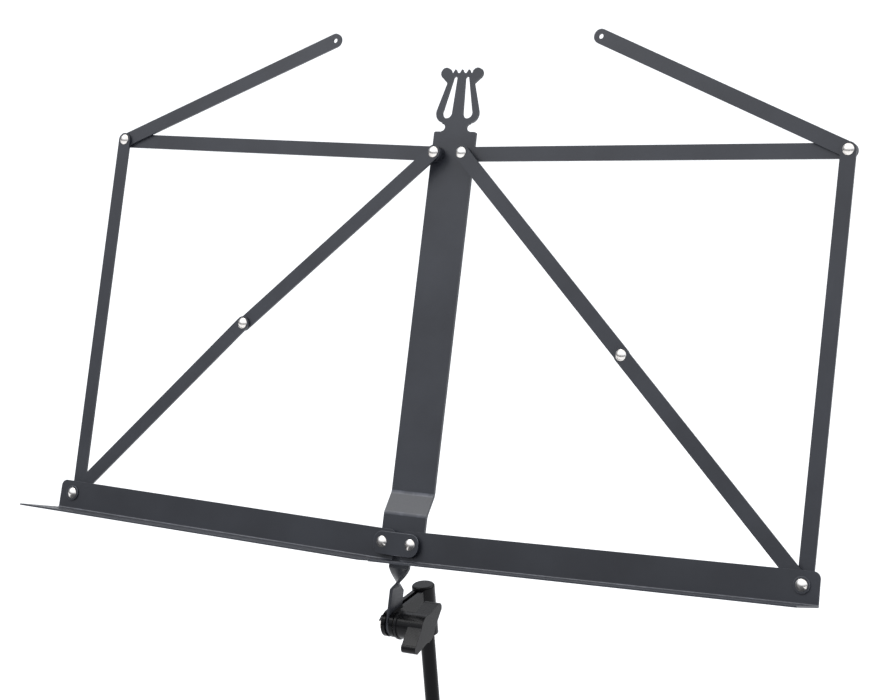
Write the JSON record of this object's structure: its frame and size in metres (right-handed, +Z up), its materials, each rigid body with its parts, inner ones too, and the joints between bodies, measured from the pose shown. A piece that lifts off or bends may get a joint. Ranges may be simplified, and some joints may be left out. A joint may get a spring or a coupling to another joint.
{
  "type": "music stand",
  "caption": "Folding orchestra music stand: hinged strap desk with ledge and page arms on a tilting head, telescopic mast and folding tripod.",
  "frame": {"origin": "on the floor under the middle of the stand's box, with the mast in the symmetry plane X = 0", "axes": "+Z up, -Y towards the player, X across the desk"},
  "size_m": [0.5588, 0.4856, 1.2404],
  "materials": {
    "powder_coat": "satin",
    "gloss_enamel": "gloss",
    "nickel": "polished",
    "gloss_black_plastic": "gloss",
    "satin_black_plastic": "satin",
    "rubber": "matte"
  },
  "bodies": {
    "base": {"lower_tube": "gloss_enamel", "lower_clamp": "gloss_black_plastic", "base_hub": "gloss_black_plastic", "hub_rivets": "nickel"},
    "lower_screw": {"lower_clamp_screw": "satin_black_plastic"},
    "collar": {"leg_collar": "gloss_black_plastic", "collar_rivets": "nickel"},
    "leg_lock": {"collar_screw": "satin_black_plastic"},
    "middle": {"middle_tube": "gloss_enamel", "middle_tube_bush": "satin_black_plastic", "upper_clamp": "gloss_black_plastic"},
    "upper_screw": {"upper_clamp_screw": "satin_black_plastic"},
    "top": {"top_tube": "gloss_enamel", "top_tube_bush": "satin_black_plastic", "tilt_bracket": "gloss_black_plastic", "bracket_pin": "nickel", "tilt_bolt": "nickel", "tilt_washer": "nickel"},
    "knob": {"wing_knob": "satin_black_plastic", "knob_insert": "nickel"},
    "desk": {"centre_plate": "powder_coat", "cover_link": "powder_coat", "bottom_rivets": "nickel", "bottom_spacers": "powder_coat", "top_rivets": "nickel", "top_spacers": "powder_coat"},
    "leg_1": {"leg_1": "powder_coat", "foot_1": "rubber"},
    "strut_1": {"strut_1": "powder_coat", "strut_rivets_1": "nickel"},
    "leg_2": {"leg_2": "powder_coat", "foot_2": "rubber"},
    "strut_2": {"strut_2": "powder_coat", "strut_rivets_2": "nickel"},
    "leg_3": {"leg_3": "powder_coat", "foot_3": "rubber"},
    "strut_3": {"strut_3": "powder_coat", "strut_rivets_3": "nickel"},
    "ledge_left": {"ledge_left": "powder_coat", "corner_rivet_left": "nickel", "corner_washers_left": "powder_coat"},
    "side_left": {"side_strap_left": "powder_coat"},
    "top_strap_left": {"top_strap_left": "powder_coat", "shoulder_rivet_left": "nickel"},
    "arm_left": {"page_arm_left": "powder_coat"},
    "lower_brace_left": {"lower_diagonal_left": "powder_coat", "knee_rivet_left": "nickel"},
    "upper_brace_left": {"upper_diagonal_left": "powder_coat", "knee_tail_left": "nickel"},
    "ledge_right": {"ledge_right": "powder_coat", "corner_rivet_right": "nickel", "corner_washers_right": "powder_coat"},
    "side_right": {"side_strap_right": "powder_coat"},
    "top_strap_right": {"top_strap_right": "powder_coat", "shoulder_rivet_right": "nickel"},
    "arm_right": {"page_arm_right": "powder_coat"},
    "lower_brace_right": {"lower_diagonal_right": "powder_coat", "knee_rivet_right": "nickel"},
    "upper_brace_right": {"upper_diagonal_right": "powder_coat", "knee_tail_right": "nickel"}
  },
  "joints": [
    {"name": "middle_height", "type": "slide", "parent": "base", "child": "middle", "axis": [0, 0, 1], "range_m": [-0.18, 0.06]},
    {"name": "top_height", "type": "slide", "parent": "middle", "child": "top", "axis": [0, 0, 1], "range_m": [-0.175, 0.06]},
    {"name": "desk_tilt", "type": "hinge", "parent": "top", "child": "desk", "pos_m": [0, -0.11708, 0.9119], "axis": [-1, 0, 0], "range_deg": [-20, 25]},
    {"name": "knob_turn", "type": "hinge", "parent": "top", "child": "knob", "pos_m": [0, -0.11708, 0.9119], "axis": [1, 0, 0], "range_deg": [-360, 30]},
    {"name": "upper_screw_turn", "type": "hinge", "parent": "middle", "child": "upper_screw", "pos_m": [0, -0.07878, 0.697], "axis": [1, 0, 0], "range_deg": [-360, 30]},
    {"name": "lower_screw_turn", "type": "hinge", "parent": "base", "child": "lower_screw", "pos_m": [0, -0.07878, 0.477], "axis": [1, 0, 0], "range_deg": [-360, 30]},
    {"name": "collar_screw_turn", "type": "hinge", "parent": "collar", "child": "leg_lock", "pos_m": [0, -0.07878, 0.16399], "axis": [0, -1, 0], "range_deg": [-360, 30]},
    {"name": "leg_spread", "type": "slide", "parent": "base", "child": "collar", "axis": [0, 0, 1], "range_m": [0, 0.17725]},
    {"name": "leg_1_fold", "type": "hinge", "parent": "collar", "child": "leg_1", "pos_m": [0, -0.05328, 0.15999], "axis": [-1, 0, 0], "range_deg": [0, 62.01]},
    {"name": "strut_1_fold", "type": "hinge", "parent": "base", "child": "strut_1", "pos_m": [0, -0.06458, 0.01713], "axis": [1, 0, 0], "range_deg": [0, 61.03]},
    {"name": "leg_2_fold", "type": "hinge", "parent": "collar", "child": "leg_2", "pos_m": [-0.02208, -0.09153, 0.15999], "axis": [0.5, -0.866, 0], "range_deg": [0, 62.01]},
    {"name": "strut_2_fold", "type": "hinge", "parent": "base", "child": "strut_2", "pos_m": [-0.0123, -0.08588, 0.01713], "axis": [-0.5, 0.866, 0], "range_deg": [0, 61.03]},
    {"name": "leg_3_fold", "type": "hinge", "parent": "collar", "child": "leg_3", "pos_m": [0.02208, -0.09153, 0.15999], "axis": [0.5, 0.866, 0], "range_deg": [0, 62.01]},
    {"name": "strut_3_fold", "type": "hinge", "parent": "base", "child": "strut_3", "pos_m": [0.0123, -0.08588, 0.01713], "axis": [-0.5, -0.866, 0], "range_deg": [0, 61.03]},
    {"name": "fold_left", "type": "hinge", "parent": "desk", "child": "ledge_left", "pos_m": [-0.0095, -0.10359, 0.95699], "axis": [0, 0.9222, -0.3867], "range_deg": [0, 86]},
    {"name": "side_fold_left", "type": "hinge", "parent": "ledge_left", "child": "side_left", "pos_m": [-0.24444, -0.10148, 0.96202], "axis": [0, 0.9222, -0.3867], "range_deg": [-86.01, 0]},
    {"name": "top_fold_left", "type": "hinge", "parent": "desk", "child": "top_strap_left", "pos_m": [-0.0095, -0.01271, 1.17371], "axis": [0, 0.9222, -0.3867], "range_deg": [0, 86.01]},
    {"name": "upper_brace_fold_left", "type": "hinge", "parent": "desk", "child": "upper_brace_left", "pos_m": [-0.0095, -0.01271, 1.17371], "axis": [0, 0.9222, -0.3867], "range_deg": [0, 129.44]},
    {"name": "lower_brace_fold_left", "type": "hinge", "parent": "ledge_left", "child": "lower_brace_left", "pos_m": [-0.24444, -0.10148, 0.96202], "axis": [0, 0.9222, -0.3867], "range_deg": [-129.44, 0]},
    {"name": "arm_turn_left", "type": "hinge", "parent": "top_strap_left", "child": "arm_left", "pos_m": [-0.24444, -0.0106, 1.17874], "axis": [0, 0.9222, -0.3867], "range_deg": [-155.7, 24.3]},
    {"name": "fold_right", "type": "hinge", "parent": "desk", "child": "ledge_right", "pos_m": [0.0095, -0.10359, 0.95699], "axis": [0, -0.9222, 0.3867], "range_deg": [0, 86]},
    {"name": "side_fold_right", "type": "hinge", "parent": "ledge_right", "child": "side_right", "pos_m": [0.24444, -0.10148, 0.96202], "axis": [0, -0.9222, 0.3867], "range_deg": [-86.01, 0]},
    {"name": "top_fold_right", "type": "hinge", "parent": "desk", "child": "top_strap_right", "pos_m": [0.0095, -0.01271, 1.17371], "axis": [0, -0.9222, 0.3867], "range_deg": [0, 86.01]},
    {"name": "upper_brace_fold_right", "type": "hinge", "parent": "desk", "child": "upper_brace_right", "pos_m": [0.0095, -0.01271, 1.17371], "axis": [0, -0.9222, 0.3867], "range_deg": [0, 131.11]},
    {"name": "lower_brace_fold_right", "type": "hinge", "parent": "ledge_right", "child": "lower_brace_right", "pos_m": [0.24444, -0.10148, 0.96202], "axis": [0, -0.9222, 0.3867], "range_deg": [-131.11, 0]},
    {"name": "arm_turn_right", "type": "hinge", "parent": "top_strap_right", "child": "arm_right", "pos_m": [0.24444, -0.0106, 1.17874], "axis": [0, -0.9222, 0.3867], "range_deg": [-155.7, 24.3]}
  ],
  "couplings": [
    {"joint": "leg_1_fold", "follows": "leg_spread", "rad_per_m": 6.105},
    {"joint": "strut_1_fold", "follows": "leg_spread", "rad_per_m": 6.0086},
    {"joint": "leg_2_fold", "follows": "leg_spread", "rad_per_m": 6.105},
    {"joint": "strut_2_fold", "follows": "leg_spread", "rad_per_m": 6.0086},
    {"joint": "leg_3_fold", "follows": "leg_spread", "rad_per_m": 6.105},
    {"joint": "strut_3_fold", "follows": "leg_spread", "rad_per_m": 6.0086},
    {"joint": "side_fold_left", "follows": "fold_left", "ratio": -1},
    {"joint": "top_fold_left", "follows": "fold_left", "ratio": 1},
    {"joint": "upper_brace_fold_left", "follows": "fold_left", "ratio": 1.5048},
    {"joint": "lower_brace_fold_left", "follows": "fold_left", "ratio": -1.5048},
    {"joint": "side_fold_right", "follows": "fold_right", "ratio": -1},
    {"joint": "top_fold_right", "follows": "fold_right", "ratio": 1},
    {"joint": "upper_brace_fold_right", "follows": "fold_right", "ratio": 1.5243},
    {"joint": "lower_brace_fold_right", "follows": "fold_right", "ratio": -1.5243}
  ]
}
